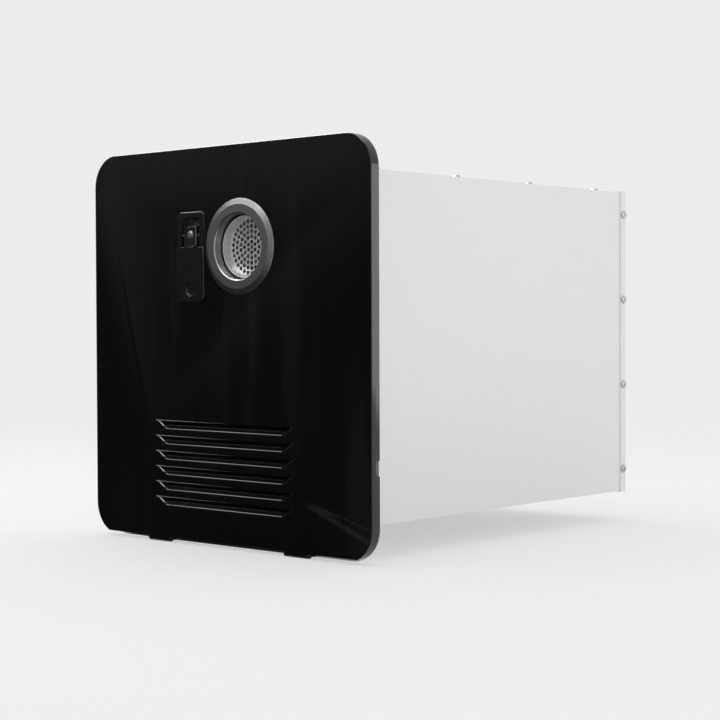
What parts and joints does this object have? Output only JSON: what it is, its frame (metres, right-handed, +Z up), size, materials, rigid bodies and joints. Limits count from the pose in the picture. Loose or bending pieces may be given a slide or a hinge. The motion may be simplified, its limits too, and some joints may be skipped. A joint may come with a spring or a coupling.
{
  "type": "recess-mounted gas water heater",
  "caption": "On-demand gas water heater for a camper wall: hinged black outer door with louvres and exhaust outlet, latch, sheet-metal cabinet, burner, heat exchanger, fan and controls inside.",
  "frame": {"origin": "middle of the wall cut-out, on the face of the mounting frame that lies on the wall", "axes": "+Z up, -Y out of the wall towards the door, +Y into the wall along the cabinet, +X to the right seen from outside"},
  "size_m": [0.381, 0.4857, 0.3904],
  "materials": {
    "door_paint": "gloss black powder coat",
    "frame_paint": "pale coated sheet",
    "cabinet_paint": "pale grey coated sheet, slightly glossy",
    "collar_metal": "dark brushed cast alloy",
    "stainless": "bright stainless steel",
    "latch_plastic": "semi-gloss black moulding",
    "seal_foam": "closed-cell foam",
    "screw_metal": "nickel plated",
    "inner_steel": "galvanised sheet",
    "copper": "copper",
    "brass": "machined brass",
    "burner_steel": "heat-tinted stainless steel",
    "gasket_fibre": "fibre gasket",
    "valve_alloy": "die-cast alloy",
    "coil_black": "black moulding",
    "fan_plastic": "grey moulding",
    "shaft_steel": "ground steel",
    "control_plastic": "light grey moulding",
    "switch_plastic": "black moulding",
    "board_green": "coated board"
  },
  "bodies": {
    "cabinet": {"mounting_frame": "frame_paint", "cabinet_wrap": "cabinet_paint", "top_cover": "cabinet_paint", "back_panel": "cabinet_paint", "hinge_pins": "stainless", "exhaust_tube": "stainless", "exhaust_guard": "stainless", "keeper_clip": "stainless", "door_seal": "seal_foam", "cover_screws": "screw_metal", "back_screws": "screw_metal", "lid_screws": "screw_metal", "upper_bulkhead": "inner_steel", "flue_hood": "inner_steel", "burner_box": "inner_steel", "air_plenum": "inner_steel", "base_rails": "inner_steel", "fan_housing": "inner_steel", "valve_bracket": "inner_steel", "exchanger_shell": "copper", "exchanger_fins": "copper", "exchanger_coil": "copper", "cold_pipe": "copper", "hot_pipe": "copper", "gas_feed_pipe": "copper", "gas_inlet_pipe": "copper", "water_inlet_fitting": "brass", "water_outlet_fitting": "brass", "gas_inlet_fitting": "brass", "fitting_nuts": "brass", "flow_sensor": "brass", "gas_manifold": "brass", "burner_bars": "burner_steel", "spark_electrodes": "burner_steel", "exhaust_gasket": "gasket_fibre", "gas_valve": "valve_alloy", "gas_solenoids": "coil_black", "fan_motor": "coil_black", "ignition_transformer": "coil_black", "overheat_switches": "coil_black", "cable_gland": "coil_black", "control_box": "control_plastic", "control_lid": "control_plastic", "power_switch_body": "switch_plastic", "circuit_board": "board_green"},
    "door": {"door_panel": "door_paint", "exhaust_collar": "collar_metal", "collar_retainer": "collar_metal", "latch_housing": "latch_plastic", "latch_pin": "stainless", "latch_spring": "stainless"},
    "latch": {"latch_lever": "latch_plastic", "latch_hook": "stainless", "latch_rivet": "stainless"},
    "fan": {"fan_wheel": "fan_plastic", "fan_shaft": "shaft_steel"},
    "switch": {"power_rocker": "switch_plastic"}
  },
  "joints": [
    {"name": "door_hinge", "type": "hinge", "parent": "cabinet", "child": "door", "pos_m": [0, -0.0101, -0.1935], "axis": [1, 0, 0], "range_deg": [0, 100], "deforming": ["keeper_clip"]},
    {"name": "latch_lift", "type": "hinge", "parent": "door", "child": "latch", "pos_m": [-0.044, -0.0117, 0.10895], "axis": [-1, 0, 0], "range_deg": [0, 30], "stiffness_Nm_per_rad": 0.05, "springref_deg": -17.19, "deforming": ["latch_spring"]},
    {"name": "fan_spin", "type": "hinge", "parent": "cabinet", "child": "fan", "pos_m": [0.005, 0.3645, -0.085], "axis": [1, 0, 0], "continuous": true},
    {"name": "switch_rock", "type": "hinge", "parent": "cabinet", "child": "switch", "pos_m": [-0.135, 0.069, 0.0329], "axis": [-1, 0, 0], "range_deg": [0, 17]}
  ]
}
